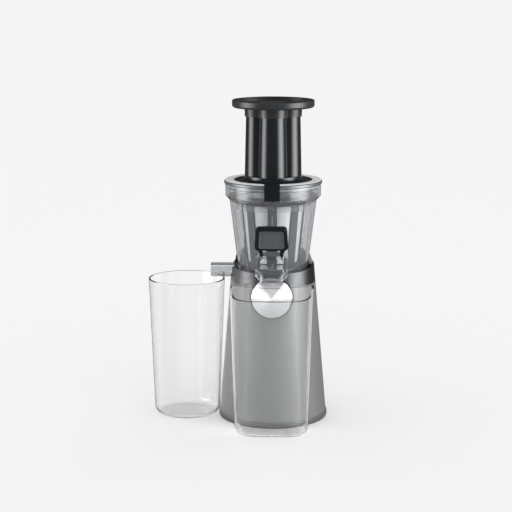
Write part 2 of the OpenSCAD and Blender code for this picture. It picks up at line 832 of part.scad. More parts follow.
// Side outline of the drip comb about the hinge pin: a knuckle, with a tongue down into the spout's mouth
module comb_outline() {
    front = -spout_reach - hinge_y;
    back = front + comb_t;
    r = comb_knuckle_r;
    polygon(concat([for (a = [90:15:270]) [r * cos(a), r * sin(a)]],
        [[front, -r], [front, comb_low - hinge_z], [back, comb_low - hinge_z],
            [back, r - 1.2], [back - 1.2, r]]));
}

// Soft comb between the lugs that keeps drips off the hinge
module spout_comb() {
    teeth = 5;
    slit = comb_w / (2 * teeth - 1);
    slit_h = 3.4;
    color("#45494e") translate([0, hinge_y, hinge_z]) difference() {
        translate([-comb_w / 2, 0, 0]) rotate([90, 0, 90]) linear_extrude(comb_w) comb_outline();
        translate([-comb_w, 0, 0]) rotate([0, 90, 0]) cylinder(h = 2 * comb_w, r = hinge_r);
        for (i = [1:teeth - 1]) translate([-comb_w / 2 + (2 * i - 1) * slit, -5, comb_low - hinge_z - 1]) {
            cube([slit, 20, slit_h + 1]);
        }
    }
}

module hinge_pin() {
    reach = arm_x + cap_arm_w + 0.6;
    color("#c9ccd0") translate([-reach, hinge_y, hinge_z]) rotate([0, 90, 0]) {
        cylinder(h = 2 * reach, r = hinge_r - 0.01);
    }
}

// ---------- spout cap, shown tipped up and open ----------

// Rounded plate in the cap's plane, h thick, standing up from the hinge
module cap_plate(w, top_w, low, high, r, y0, h) {
    translate([0, y0, 0]) rotate([90, 0, 0]) linear_extrude(h) {
        hull() for (s = [-1, 1]) {
            translate([s * (w / 2 - r), low + r]) circle(r = r, $fn = 32);
            translate([s * (top_w / 2 - r), high - r]) circle(r = r, $fn = 32);
        }
    }
}

module cap_frame() {
    // web that spreads from each arm to the plate's corner
    web = [[arm_x, cap_low + 0.5], [arm_x, hinge_z + 1], [arm_x + cap_arm_w, hinge_z + 1],
        [cap_w / 2 - 0.6, cap_low + cap_round]];
    color("#16181a") difference() {
        union() {
            cap_plate(cap_w, cap_top_w, cap_low, cap_high, cap_round, hinge_y + cap_t - 1, cap_t);
            for (s = [-1, 1]) {
                translate([s * (arm_x + cap_arm_w / 2), hinge_y, hinge_z]) rotate([0, 90, 0]) {
                    translate([0, 0, -cap_arm_w / 2]) cylinder(h = cap_arm_w, r = cap_arm_r);
                }
                translate([0, hinge_y + cap_t - 1.2, 0]) rotate([90, 0, 0]) {
                    linear_extrude(cap_t - 0.4) polygon([for (p = web) [s * p[0], p[1]]]);
                }
            }
        }
        // recess for the seal
        cap_plate(pad_w, pad_top_w, pad_low, pad_high, pad_round, hinge_y + 1.6, cap_t);
        translate([-40, hinge_y, hinge_z]) rotate([0, 90, 0]) cylinder(h = 80, r = hinge_r + run);
    }
}

// Silicone pad in the cap, with a raised lip that presses on the spout's mouth
module cap_seal() {
    lip = 1.4;
    w = pad_w - 2 * snug;
    top_w = pad_top_w - 2 * snug;
    low = pad_low + snug;
    high = pad_high - snug;
    color("#4a4e54") difference() {
        cap_plate(w, top_w, low, high, pad_round - snug, hinge_y + 1.5, 2.4);
        cap_plate(w - 2 * lip, top_w - 2 * lip, low + lip, high - lip, pad_round - lip, hinge_y + 0.1, 2);
    }
}

// ---------- brush, strainer and auger ----------

module brush_pinion() {
    gap = 180 / pinion_teeth;
    color("#e6e6e2") translate([0, pinion_axis, 0]) {
        spur_gear(brush_z, brush_gear_w, pinion_teeth, brush_m, 0.8, 1.15, brush_play, 2.5 + run, -90 + gap);
    }
}

module brush_frame() {
    top = ledge_z - 8;
    z1 = brush_z + brush_gear_w;
    color("#9aa0a6", 0.6) difference() {
        union() {
            translate([0, 0, brush_z]) cylinder(h = brush_gear_w, r = brush_out(brush_z));
            cone_shell(brush_z, top, brush_out(brush_z), brush_out(top), arm_t);
        }
        translate([0, 0, brush_z - 1]) rotate(90 + 180 / ring_teeth * (1 - pinion_teeth % 2)) {
            linear_extrude(brush_gear_w + 2) gear_outline(ring_teeth, brush_m, 1.15, 0.6, -brush_play);
        }
        // openings between the arms
        difference() {
            translate([0, 0, z1]) cylinder(h = top - 6 - z1, r = 80);
            for (i = [0:arms - 1]) rotate(-90 + i * 360 / arms) {
                translate([0, -arm_w / 2, 0]) cube([100, arm_w, 400]);
            }
        }
    }
}

module brush_wipers() {
    low = brush_z + brush_gear_w + 3;
    top = ledge_z - 18;
    blade = 1.8;
    grip = 0.02;
    color("#d8dadc") difference() {
        intersection() {
            for (i = [0:arms - 1]) rotate(-90 + i * 360 / arms) {
                translate([20, -blade / 2, low]) cube([60, blade, top - low]);
            }
            translate([0, 0, low]) {
                cylinder(h = top - low, r1 = bowl_in(low) - clear, r2 = bowl_in(top) - clear);
            }
        }
        translate([0, 0, low - 1]) {
            cylinder(h = top - low + 2, r1 = strainer_r(low - 1) + clear, r2 = strainer_r(top + 1) + clear);
        }
        cone_shell(low - 1, top + 1, brush_out(low - 1) + grip, brush_out(top + 1) + grip, arm_t + 2 * grip);
    }
}

module strainer_frame() {
    low_band = strainer_z + 8;
    high_band = ledge_z - 8;
    color("#2b2e32") {
        difference() {
            union() {
                translate([0, 0, strainer_z]) cylinder(h = strainer_floor_t, r = strainer_foot_r - 0.5);
                cone_shell(strainer_z, ledge_z + 1, strainer_r(strainer_z), strainer_r(ledge_z + 1),
                    strainer_wall);
                tube(ledge_z + snug, ledge_z + snug + flange_t, band_in_r - clear,
                    strainer_top_r - strainer_wall - 0.5);
            }
            translate([0, 0, strainer_z - 1]) cylinder(h = 10, r = sun_tip + 0.8);
            translate([-sun_tip - 9, 0, strainer_z - 1]) cylinder(h = 10, r = 5);
            // windows between the ribs
            difference() {
                translate([0, 0, low_band]) cylinder(h = high_band - low_band, r = 80);
                for (i = [0:ribs / 2 - 1]) rotate(i * 360 / ribs) {
                    translate([-100, -rib_w / 2, 0]) cube([200, rib_w, 400]);
                }
            }
        }
    }
}

module strainer_mesh() {
    z0 = strainer_z + strainer_floor_t + snug;
    z1 = ledge_z;
    in = strainer_wall + snug;
    color("#cfd3d6") cone_shell(z0, z1, strainer_r(z0) - in, strainer_r(z1) - in, mesh_t);
}

// Radius of the auger's core at height z
function core_r(z) =
    core_foot_r + (core_top_r - core_foot_r) * (z - flight_z) / (flight_top - flight_z);

// One cross-section of the flight at fraction t of its height
function flight_ring(t) =
    let (z = flight_z + t * (flight_top - flight_z - flight_t),
        a = -90 + t * flight_turns * 360,
        outer = strainer_r(z) - strainer_wall - mesh_t - 1,
        root = core_r(z + 3) - 3,
        deep = flight_t * 0.6)
    [[root * cos(a), root * sin(a), z - deep], [outer * cos(a), outer * sin(a), z],
        [outer * cos(a), outer * sin(a), z + flight_t], [root * cos(a), root * sin(a), z + flight_t + deep]];

module flight() {
    n = round(flight_turns * 28);
    points = [for (i = [0:n]) each flight_ring(i / n)];
    sides = [for (i = [0:n - 1]) for (k = [0:3]) let (a = 4 * i + k, b = 4 * i + (k + 1) % 4)
        each [[a, b, b + 4], [a, b + 4, a + 4]]];
    ends = [[0, 2, 1], [0, 3, 2], [4 * n, 4 * n + 1, 4 * n + 2], [4 * n, 4 * n + 2, 4 * n + 3]];
    polyhedron(points, concat(sides, ends));
}

module auger() {
    hub = 10;
    color("#26282b") difference() {
        union() {
            rotate_extrude($fn = 96) polygon([[0, auger_z], [hub, auger_z],
                [hub, strainer_z + strainer_floor_t + 1], [core_r(flight_z) + 3, flight_z - 1.5],
                [core_r(flight_z) + 3, flight_z], [core_r(flight_top), flight_top],
                [8, flight_top + 8], [pin_r, flight_top + 9], [pin_r, pin_top], [0, pin_top]]);
            flight();
            translate([0, 0, brush_z]) rotate(90) linear_extrude(brush_gear_w) {
                gear_outline(auger_teeth, brush_m, 0.8, 1.15, brush_play);
            }
        }
        translate([0, 0, auger_z - 1]) cylinder(h = hex_top + 2 - auger_z, r = hex_r + 0.25, $fn = 6);
    }
}

// ---------- lid ----------

module lid_plate() {
    fillet = 7;
    steps = 5;
    r0 = lobe_c + lobe_low_r;
    color("#141618") difference() {
        union() {
            rotate_extrude($fn = 96) polygon(concat(
                [[0, lid_z - plug_h], [plug_r, lid_z - plug_h], [plug_r, lid_z - 0.2],
                    [ring_in_r - 0.3, lid_z - 0.2], [ring_in_r - 0.3, lid_top]],
                [for (i = [0:steps]) let (a = 90 * i / steps)
                    [r0 + fillet - 0.8 - fillet * sin(a), lid_top + fillet - fillet * cos(a)]],
                [[0, lid_top + fillet]]));
            lobes(lid_z, tube_top, lobe_low_r, lobe_top_r);
            // latch tab over the trim ring and the bowl's band
            intersection() {
                rotate_extrude($fn = 96) polygon([[ring_in_r - 2, lid_z + 0.4], [tab_in_r, lid_z + 0.4],
                    [tab_in_r, band_z + 8], [tab_in_r + tab_t, band_z + 7],
                    [tab_in_r + tab_t, ring_top - 0.6],
                    [tab_in_r + tab_t - 1.4, ring_top + 0.6], [ring_in_r - 2, ring_top + 0.6]]);
                translate([-tab_w / 2, -100, 0]) cube([tab_w, 100, 400]);
            }
        }
        difference() {
            lobes(lid_z - plug_h - 1, tube_top + 1, lobe_r(lid_z - plug_h - 1) - tube_wall,
                lobe_r(tube_top + 1) - tube_wall);
            // spider that holds the bush for the auger's pin
            translate([0, 0, spider_z]) cylinder(h = spider_t, r = 9);
            for (a = [0, 90]) rotate(a + 45) translate([-60, -2.5, spider_z]) cube([120, 5, spider_t]);
        }
        translate([0, 0, spider_z - 1]) cylinder(h = spider_t + 2, r = bush_r);
    }
}

module lid_ring() {
    color("#b4b8ba") difference() {
        rotate_extrude($fn = 96) polygon([[ring_in_r, lid_z], [ring_r - 0.8, lid_z],
            [ring_r, lid_z + 0.8], [ring_r, ring_top - 1.6], [ring_r - 1.4, ring_top],
            [ring_in_r + 0.8, ring_top], [ring_in_r, ring_top - 0.8]]);
        // notch for the lid's latch tab
        translate([-tab_w / 2 - snug, -100, lid_z + 0.2]) cube([tab_w + 2 * snug, 100, ring_t]);
    }
}

module lid_gasket() {
    color("#7d8286") tube(lid_z - plug_h - 2.2, lid_z - plug_h - snug, plug_r, plug_r - 4);
}

module auger_bush() {
    color("#e9e6da") tube(spider_z - 0.5, spider_z + spider_t - 0.3, bush_r - 0.05, pin_r + run);
}

module feed_tray() {
    // sleeve wall at its lower edge and under the tray
    thin = 1.6;
    thick = 2.4;
    z0 = tray_z - sleeve_h;
    color("#3a3f42") difference() {
        union() {
            rotate_extrude($fn = 96) polygon([[0, tray_z], [tray_r - 2.2, tray_z], [tray_r - 0.6, tray_z + 1],
                [tray_r, tray_z + 2.6], [tray_r, tray_top - 0.8], [tray_r - 0.8, tray_top],
                [tray_r - tray_wall, tray_top - 0.4], [tray_r - tray_wall, tray_z + tray_wall + 2],
                [tray_r - tray_wall - 2, tray_z + tray_wall], [0, tray_z + tray_wall]]);
            lobes(z0, tray_z + 0.01, lobe_r(z0) + thin, lobe_r(tray_z) + thick);
        }
        lobes(z0 - 1, tray_z - 0.001, lobe_r(z0 - 1) + clear, lobe_r(tray_z) + clear);
        lobes(z0, tray_z + 20, lobe_r(z0) - tube_wall, lobe_r(tray_z) - tube_wall);
    }
}

// ---------- vessels ----------

// Outline of the jug, seen from above, at fraction t of its height: a box with a bowed front
function jug_outline(inset, t) =
    let (n = 72, square = 0.42, mid = -48,
        w = (jug_foot_w + (jug_w - jug_foot_w) * t) / 2 - inset,
        d = jug_front + mid - jug_lean * (1 - t) - inset)
    [for (i = [0:n - 1]) let (a = i * 360 / n, c = cos(a), s = sin(a))
        [w * sign(c) * pow(abs(c), square), mid + d * sign(s) * pow(abs(s), square)]];

// Solid block of the jug's outer or inner form, with a rounded foot edge
module jug_block(inset, low, high) {
    steps = 4;
    round = 9 - inset;
    hull() {
        for (i = [0:steps]) let (a = 90 * i / steps, z = low + round - round * cos(a)) {
            translate([0, 0, z]) linear_extrude(0.01) {
                polygon(jug_outline(inset + round - round * sin(a), z / jug_h));
            }
        }
        translate([0, 0, high]) linear_extrude(0.01) polygon(jug_outline(inset, high / jug_h));
    }
}

module juice_jug() {
    back = foot_y - nest_r;
    color("#dfe5ea", 0.35) difference() {
        jug_block(0, 0, jug_h);
        difference() {
            jug_block(cup_wall, cup_wall + 0.8, jug_h + 2);
            translate([0, foot_y, -1]) cylinder(h = jug_h + 4, r = nest_r + cup_wall, $fn = 96);
        }
        translate([0, foot_y, -1]) cylinder(h = jug_h + 4, r = nest_r, $fn = 96);
        // rim that dips towards the front, where the juice is poured
        translate([0, back, jug_h]) rotate([atan(jug_fall / (jug_front + back)), 0, 0]) {
            translate([-100, -100, 0]) cube([200, 200, 60]);
        }
    }
}

module pulp_container() {
    steps = 6;
    r_in = pulp_round - cup_wall;
    slope = (pulp_r - pulp_foot_r) / (pulp_h - pulp_round);
    outer = [for (i = [0:steps]) let (a = 90 * i / steps)
        [pulp_foot_r - pulp_round + pulp_round * sin(a), pulp_round - pulp_round * cos(a)]];
    inner = [for (i = [0:steps]) let (a = 90 - 90 * i / steps)
        [pulp_foot_r - pulp_round + r_in * sin(a), pulp_round - r_in * cos(a)]];
    color("#e4e9ee", 0.35) translate([0, foot_y, 0]) rotate(180 - pulp_turn) translate([pulp_c, 0, 0]) {
        rotate_extrude($fn = 96) polygon(concat([[0, 0]], outer,
            [[pulp_r, pulp_h - 0.8], [pulp_r - 0.5, pulp_h], [pulp_r - cup_wall + 0.3, pulp_h],
                [pulp_r - cup_wall, pulp_h - 0.6]],
            inner, [[0, cup_wall]]));
    }
}

foot_ring();
rubber_feet();
bottom_plate();
bottom_screws();
base_housing();
base_collar();
bowl_cradle();
cord_gland();
control_board();
motor_case();
motor_bearings();
motor_rotor();
gearbox_plate();
gearbox_cover();
gearbox_screws();
idler_axle();
idler_gear();
output_bearing();
deck_bush();
shaft_seal();
drive_shaft();
dial_bezel();
rotary_switch();
control_dial();
bowl();
bowl_seal();
chute_seal();
spout_comb();
hinge_pin();
cap_frame();
cap_seal();
brush_pinion();
brush_frame();
brush_wipers();
strainer_frame();
strainer_mesh();
auger();
lid_plate();
lid_ring();
lid_gasket();
auger_bush();
feed_tray();
juice_jug();
pulp_container();
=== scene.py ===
# %% [markdown]
# A vertical slow juicer, rendered in Blender around its CAD model.
#
# The CAD model brings the shapes that fit and move: the motor base, the bowl with its spout, the strainer,
# the auger, the lid with the lobed feed tube, the tray and the two vessels. This script gives every one of
# them a finish, and models the pieces that carry the look, such as the moulded clear walls and the punched
# steel sheet of the strainer. All lengths are metres, X points to the user's right, the user stands at -Y.

# %% Load the model
import json
import math

import bmesh
import bpy
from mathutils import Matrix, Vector


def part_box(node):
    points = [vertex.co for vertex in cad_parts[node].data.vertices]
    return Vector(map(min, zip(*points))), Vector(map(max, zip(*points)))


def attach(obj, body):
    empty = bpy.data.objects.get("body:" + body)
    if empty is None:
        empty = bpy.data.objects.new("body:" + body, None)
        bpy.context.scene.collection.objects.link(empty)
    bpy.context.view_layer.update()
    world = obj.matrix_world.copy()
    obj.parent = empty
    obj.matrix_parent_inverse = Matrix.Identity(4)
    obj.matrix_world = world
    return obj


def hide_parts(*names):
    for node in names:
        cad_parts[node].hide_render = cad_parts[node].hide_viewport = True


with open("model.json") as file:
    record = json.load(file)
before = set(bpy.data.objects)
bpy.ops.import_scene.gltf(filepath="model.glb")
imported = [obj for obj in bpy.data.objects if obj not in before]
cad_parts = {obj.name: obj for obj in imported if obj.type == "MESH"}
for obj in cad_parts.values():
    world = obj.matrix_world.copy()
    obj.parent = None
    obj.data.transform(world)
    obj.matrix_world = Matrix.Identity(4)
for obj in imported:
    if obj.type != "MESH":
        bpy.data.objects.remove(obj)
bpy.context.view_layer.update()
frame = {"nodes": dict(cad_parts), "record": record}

nodes = frame["nodes"]

# %% [markdown]
# The camera stands two metres in front of the juicer and a little above its middle, and looks down by about
# ten degrees, with a long lens, so that upright edges stay nearly upright. The juicer stands a little to the
# right of the middle of the picture, because the pulp container takes room at the left.

# %% Camera
DISTANCE = 2.0
EYE_HEIGHT = 0.595
LOOK_DOWN = math.radians(10.6)
SIDE_STEP = math.radians(1.3)
TURN = math.radians(1.95)
LENS = 107.1


def camera():
    data = bpy.data.cameras.new("camera")
    data.lens = LENS
    data.sensor_width = 36
    data.clip_end = 100
    eye = bpy.data.objects.new("camera", data)
    bpy.context.scene.collection.objects.link(eye)
    eye.location = (DISTANCE * math.sin(SIDE_STEP), -DISTANCE * math.cos(SIDE_STEP), EYE_HEIGHT)
    eye.rotation_euler = (math.pi / 2 - LOOK_DOWN, 0, TURN)
    bpy.context.scene.camera = eye
    return eye


eye = camera()
print("the camera stands at", [round(x, 3) for x in eye.location])

# %% [markdown]
# A product studio is a pale floor and large soft lights. The even white surround lights the floor and fills
# the shadows, but it would also wash out every black surface that mirrors it. So the surround and the floor
# are dim to mirror rays only, as black cloth round a real set makes them, and tall soft boxes at either side
# draw the light bands that show how a glossy surface curves. The camera, also when it looks through clear
# plastic, sees the surround in the tone of the floor, so that no line shows where the floor ends.

# %% Surround and floor
FLOOR_TONE = (0.6, 0.597, 0.6, 1)
FLOOR_GLOW = 0.315
FLOOR_RADIUS = 40
SURROUND_LIGHT = 1.04
MIRRORED = 0.09
HORIZON = (0.909, 0.901, 0.909, 1)


def dim_in_mirrors(tree, shader_kind, paint, output):
    """Mixes in a dark shader that only mirror rays meet. Rays bent by clear plastic see the light one."""
    path = tree.nodes.new("ShaderNodeLightPath")
    dark = tree.nodes.new(shader_kind)
    dark.inputs["Color"].default_value = (MIRRORED, MIRRORED, MIRRORED, 1)
    mirrored = tree.nodes.new("ShaderNodeMixShader")
    tree.links.new(path.outputs["Is Glossy Ray"], mirrored.inputs["Fac"])
    tree.links.new(paint, mirrored.inputs[1])
    tree.links.new(dark.outputs[0], mirrored.inputs[2])
    bent = tree.nodes.new("ShaderNodeMixShader")
    tree.links.new(path.outputs["Is Transmission Ray"], bent.inputs["Fac"])
    tree.links.new(mirrored.outputs[0], bent.inputs[1])
    tree.links.new(paint, bent.inputs[2])
    tree.links.new(bent.outputs["Shader"], output.inputs["Surface"])


def surround():
    world = bpy.data.worlds.new("studio")
    bpy.context.scene.world = world
    world.use_nodes = True
    tree = world.node_tree
    paint = tree.nodes["Background"]
    paint.inputs["Color"].default_value = (1, 0.992, 0.996, 1)
    paint.inputs["Strength"].default_value = SURROUND_LIGHT
    output = tree.nodes["World Output"]
    dim_in_mirrors(tree, "ShaderNodeBackground", paint.outputs[0], output)
    far = tree.nodes.new("ShaderNodeBackground")
    far.inputs["Color"].default_value = HORIZON
    path = tree.nodes.new("ShaderNodeLightPath")
    direct = tree.nodes.new("ShaderNodeMath")
    direct.operation = "MAXIMUM"
    tree.links.new(path.outputs["Is Camera Ray"], direct.inputs[0])
    tree.links.new(path.outputs["Is Transmission Ray"], direct.inputs[1])
    seen = tree.nodes.new("ShaderNodeMixShader")
    tree.links.new(direct.outputs["Value"], seen.inputs["Fac"])
    tree.links.new(output.inputs["Surface"].links[0].from_socket, seen.inputs[1])
    tree.links.new(far.outputs[0], seen.inputs[2])
    tree.links.new(seen.outputs["Shader"], output.inputs["Surface"])


def floor():
    bpy.ops.mesh.primitive_circle_add(vertices=96, radius=FLOOR_RADIUS, fill_type="NGON")
    ground = bpy.context.object
    ground.name = "floor"
    material = bpy.data.materials.new("floor_paper")
    material.use_nodes = True
    tree = material.node_tree
    skin = tree.nodes["Principled BSDF"]
    skin.inputs["Base Color"].default_value = FLOOR_TONE
    skin.inputs["Emission Color"].default_value = (1, 0.985, 0.99, 1)
    skin.inputs["Emission Strength"].default_value = FLOOR_GLOW
    skin.inputs["Roughness"].default_value = 0.9
    skin.inputs["Specular IOR Level"].default_value = 0.1
    dim_in_mirrors(tree, "ShaderNodeEmission", skin.outputs[0], tree.nodes["Material Output"])
    ground.data.materials.append(material)
    return ground


surround()
ground = floor()
bpy.context.scene.view_settings.view_transform = "Standard"
print("surround and floor, dimmed to", MIRRORED, "in mirrors")

# %% [markdown]
# The soft boxes light the juicer and leave the floor alone, so that the floor stays one even tone. Light
# linking does that: each lamp gets a collection that names the floor as left out. A real soft box is bright
# in the middle and fades to its sides, so a glossy surface shows a band of light without hard edges. The
# Parametric output runs from 0 to 1 over the lamp, and Ping-Pong turns it into the distance from a side.

# %% Soft boxes
HALF_WAY = 0.5
MIDDLE_BOOST = 2


def fade_sides(data):
    """The lamp is bright down its middle and dark at its left and right side."""
    data.use_nodes = True
    tree = data.node_tree
    across = tree.nodes.new("ShaderNodeSeparateXYZ")
    tree.links.new(tree.nodes.new("ShaderNodeNewGeometry").outputs["Parametric"], across.inputs["Vector"])
    reach = tree.nodes.new("ShaderNodeMath")
    reach.operation = "PINGPONG"
    reach.inputs[1].default_value = HALF_WAY
    tree.links.new(across.outputs["X"], reach.inputs[0])
    fade = tree.nodes.new("ShaderNodeMapRange")
    fade.interpolation_type = "SMOOTHSTEP"
    fade.inputs["From Max"].default_value = HALF_WAY
    fade.inputs["To Max"].default_value = MIDDLE_BOOST
    tree.links.new(reach.outputs["Value"], fade.inputs["Value"])
    tree.links.new(fade.outputs["Result"], tree.nodes["Emission"].inputs["Strength"])


def soft_box(name, place, target, width, height, power):
    """An area lamp at a place, turned towards the target."""
    data = bpy.data.lights.new(name, "AREA")
    data.shape = "RECTANGLE"
    data.size = width
    data.size_y = height
    data.energy = power
    fade_sides(data)
    lamp = bpy.data.objects.new(name, data)
    bpy.context.scene.collection.objects.link(lamp)
    lamp.location = place
    lamp.rotation_euler = (Vector(target) - Vector(place)).to_track_quat("-Z", "Y").to_euler()
    return lamp


def spare_floor(lamps):
    """Light linking: the lamps light everything except the floor."""
    left_out = bpy.data.collections.new("left_out")
    left_out.objects.link(ground)
    left_out.collection_objects[0].light_linking.link_state = "EXCLUDE"
    for lamp in lamps:
        lamp.light_linking.receiver_collection = left_out


spare_floor([
    soft_box("left_box", (-1.15, -0.3, 0.45), (0, 0, 0.25), width=1.4, height=1.3, power=16),
    soft_box("right_box", (1.1, -0.4, 0.45), (0, 0, 0.25), width=1.7, height=1.3, power=24),
    soft_box("top_box", (0, 0.4, 1.5), (0, 0, 0.3), width=0.8, height=0.5, power=2.5),
])

# %% [markdown]
# Each finish is a material with one Principled shader. What is the same all over the surface is set on the
# shader itself. On top of that a real surface is never even: its colour drifts a little, its gloss varies
# where it was wiped, and its skin has a fine grain. Three small helpers add these from noise that is fixed
# to the object.

# %% Helpers for materials


def shader(name, colour, rough, metal, **more):
    """A material with one Principled shader, whose other sockets may be given by name."""
    material = bpy.data.materials.new(name)
    material.use_nodes = True
    skin = material.node_tree.nodes["Principled BSDF"]
    skin.inputs["Base Color"].default_value = (*colour, 1)
    skin.inputs["Roughness"].default_value = rough
    skin.inputs["Metallic"].default_value = metal
    for socket, value in more.items():
        skin.inputs[socket.replace("_", " ")].default_value = value
    return material


def add_node(material, kind, **values):
    """A node whose sockets or settings are given by name."""
    made = material.node_tree.nodes.new(kind)
    for key, value in values.items():
        if key in made.inputs:
            made.inputs[key].default_value = value
        else:
            setattr(made, key, value)
    return made


def join(material, source, target):
    material.node_tree.links.new(source, target)


def skin_of(material):
    return material.node_tree.nodes["Principled BSDF"]


def coordinates(material, scale=(1, 1, 1)):
    """Object coordinates, stretched by scale."""
    place = add_node(material, "ShaderNodeTexCoord")
    mapping = add_node(material, "ShaderNodeMapping")
    mapping.inputs["Scale"].default_value = scale
    join(material, place.outputs["Object"], mapping.inputs["Vector"])
    return mapping.outputs["Vector"]


NOISE_LOW = 0.3
NOISE_HIGH = 0.7


def noise(material, size, scale, detail=2.0):
    """Noise with spots about size metres across. It stays mostly between NOISE_LOW and NOISE_HIGH."""
    cloud = add_node(material, "ShaderNodeTexNoise")
    cloud.inputs["Scale"].default_value = 1 / size
    cloud.inputs["Detail"].default_value = detail
    join(material, coordinates(material, scale), cloud.inputs["Vector"])
    return cloud.outputs["Fac"]


def mottle(material, low, high, size, scale=(1, 1, 1)):
    """The roughness wanders between low and high."""
    spread = add_node(material, "ShaderNodeMapRange")
    spread.inputs["From Min"].default_value = NOISE_LOW
    spread.inputs["From Max"].default_value = NOISE_HIGH
    spread.inputs["To Min"].default_value = low
    spread.inputs["To Max"].default_value = high
    join(material, noise(material, size, scale), spread.inputs["Value"])
    join(material, spread.outputs["Result"], skin_of(material).inputs["Roughness"])


def tint(material, dark, light, size, scale=(1, 1, 1)):
    """The colour drifts between dark and light."""
    blend = add_node(material, "ShaderNodeMix", data_type="RGBA")
    blend.inputs["A"].default_value = (*dark, 1)
    blend.inputs["B"].default_value = (*light, 1)
    join(material, noise(material, size, scale, detail=3.0), blend.inputs["Factor"])
    join(material, blend.outputs["Result"], skin_of(material).inputs["Base Color"])


def grain(material, size, depth, scale=(1, 1, 1), strength=0.3):
    """A fine bump of that depth in metres."""
    bump = add_node(material, "ShaderNodeBump")
    bump.inputs["Strength"].default_value = strength
    bump.inputs["Distance"].default_value = depth
    join(material, noise(material, size, scale, detail=3.0), bump.inputs["Height"])
    join(material, bump.outputs["Normal"], skin_of(material).inputs["Normal"])


print("helpers: shader, add_node, join, coordinates, noise, mottle, tint, grain")

# %% [markdown]
# The opaque finishes. The housing is plastic in satin silver paint, the collar a brushed metal sleeve, the
# lid gloss black, the tray and the foot a dark satin plastic. Inside are cast and turned metal parts.

# %% Opaque finishes


def silver_paint():
    m = shader("silver_paint", (0.19, 0.194, 0.193), 0.42, 0.4)
    tint(m, (0.182, 0.186, 0.185), (0.2, 0.204, 0.203), 0.03)
    mottle(m, 0.34, 0.42, 0.02)
    grain(m, 0.0004, 0.00004)
    return m


def brushed_steel():
    m = shader("brushed_steel", (0.3, 0.31, 0.32), 0.3, 1.0)
    tint(m, (0.108, 0.111, 0.114), (0.15, 0.153, 0.157), 0.002, (0.05, 0.05, 6))
    mottle(m, 0.25, 0.38, 0.0015, (0.05, 0.05, 6))
    grain(m, 0.0006, 0.00006, (0.04, 0.04, 5))
    return m


def gloss_black():
    m = shader("gloss_black", (0.007, 0.0085, 0.01), 0.12, 0.0)
    mottle(m, 0.08, 0.15, 0.015)
    tint(m, (0.006, 0.0075, 0.009), (0.009, 0.011, 0.013), 0.02)
    grain(m, 0.004, 0.00002, strength=0.15)
    return m


def satin_dark():
    m = shader("satin_dark", (0.075, 0.078, 0.081), 0.4, 0.0)
    mottle(m, 0.34, 0.46, 0.01)
    tint(m, (0.07, 0.073, 0.075), (0.085, 0.088, 0.091), 0.012)
    grain(m, 0.0005, 0.00005)
    return m


def rubber(name, tone):
    m = shader(name, tone, 0.7, 0.0)
    mottle(m, 0.62, 0.78, 0.006)
    tint(m, [c * 0.9 for c in tone], [c * 1.15 for c in tone], 0.005)
    grain(m, 0.0007, 0.00006)
    return m


def moulded(name, tone, rough):
    m = shader(name, tone, rough, 0.0)
    mottle(m, rough - 0.06, rough + 0.06, 0.008)
    tint(m, [c * 0.94 for c in tone], [min(1, c * 1.06) for c in tone], 0.01)
    grain(m, 0.0008, 0.00003)
    return m


def turned_metal(name, tone, rough):
    m = shader(name, tone, rough, 1.0)
    mottle(m, rough - 0.07, rough + 0.08, 0.001, (1, 1, 12))
    tint(m, [c * 0.9 for c in tone], [min(1, c * 1.08) for c in tone], 0.0012, (1, 1, 10))
    grain(m, 0.0006, 0.00003, (0.1, 0.1, 8))
    return m


def cast_metal(name, tone):
    m = shader(name, tone, 0.5, 0.9)
    mottle(m, 0.42, 0.6, 0.003)
    tint(m, [c * 0.85 for c in tone], [min(1, c * 1.1) for c in tone], 0.006)
    grain(m, 0.0009, 0.0002, strength=0.5)
    return m


def sheet_steel():
    m = shader("sheet_steel", (0.82, 0.83, 0.84), 0.42, 0.55)
    mottle(m, 0.36, 0.48, 0.003)
    tint(m, (0.78, 0.79, 0.8), (0.88, 0.89, 0.9), 0.004)
    return m


GROOVE_PITCH = 0.0008
RINGS_PER_METRE = 3.183
DIAL_GROOVES = 1 / GROOVE_PITCH / RINGS_PER_METRE


def dial_chrome():
    """Turned face: highlights run out from the middle, across the grooves that the tool left.

    A Wave texture of scale 1 draws RINGS_PER_METRE rings in a metre.
    """
    m = shader("dial_chrome", (0.8, 0.81, 0.82), 0.14, 1.0)
    tint(m, (0.74, 0.75, 0.76), (0.86, 0.87, 0.88), 0.003)
    low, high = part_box("control_dial")
    place = add_node(m, "ShaderNodeTexCoord")
    centre = add_node(m, "ShaderNodeMapping")
    centre.inputs["Location"].default_value = -(low + high) / 2
    join(m, place.outputs["Object"], centre.inputs["Vector"])
    rings = add_node(m, "ShaderNodeTexWave", wave_type="RINGS", rings_direction="Y", Scale=DIAL_GROOVES)
    join(m, centre.outputs["Vector"], rings.inputs["Vector"])
    bump = add_node(m, "ShaderNodeBump", Strength=1.0, Distance=0.00016)
    join(m, rings.outputs["Fac"], bump.inputs["Height"])
    join(m, bump.outputs["Normal"], skin_of(m).inputs["Normal"])
    return m


def tray_black():
    m = shader("tray_black", (0.02, 0.022, 0.024), 0.28, 0.0)
    mottle(m, 0.24, 0.33, 0.012)
    tint(m, (0.018, 0.02, 0.022), (0.024, 0.026, 0.028), 0.015)
    grain(m, 0.0006, 0.00003, strength=0.2)
    return m


def greater(m, value, limit):
    """One where the value is greater than the limit, else zero."""
    step = add_node(m, "ShaderNodeMath", operation="GREATER_THAN")
    step.inputs[1].default_value = limit
    join(m, value, step.inputs[0])
    return step.outputs["Value"]


def above(m, level):
    """One where the surface lies above a height."""
    split = add_node(m, "ShaderNodeSeparateXYZ")
    join(m, coordinates(m), split.inputs["Vector"])
    return greater(m, split.outputs["Z"], level)


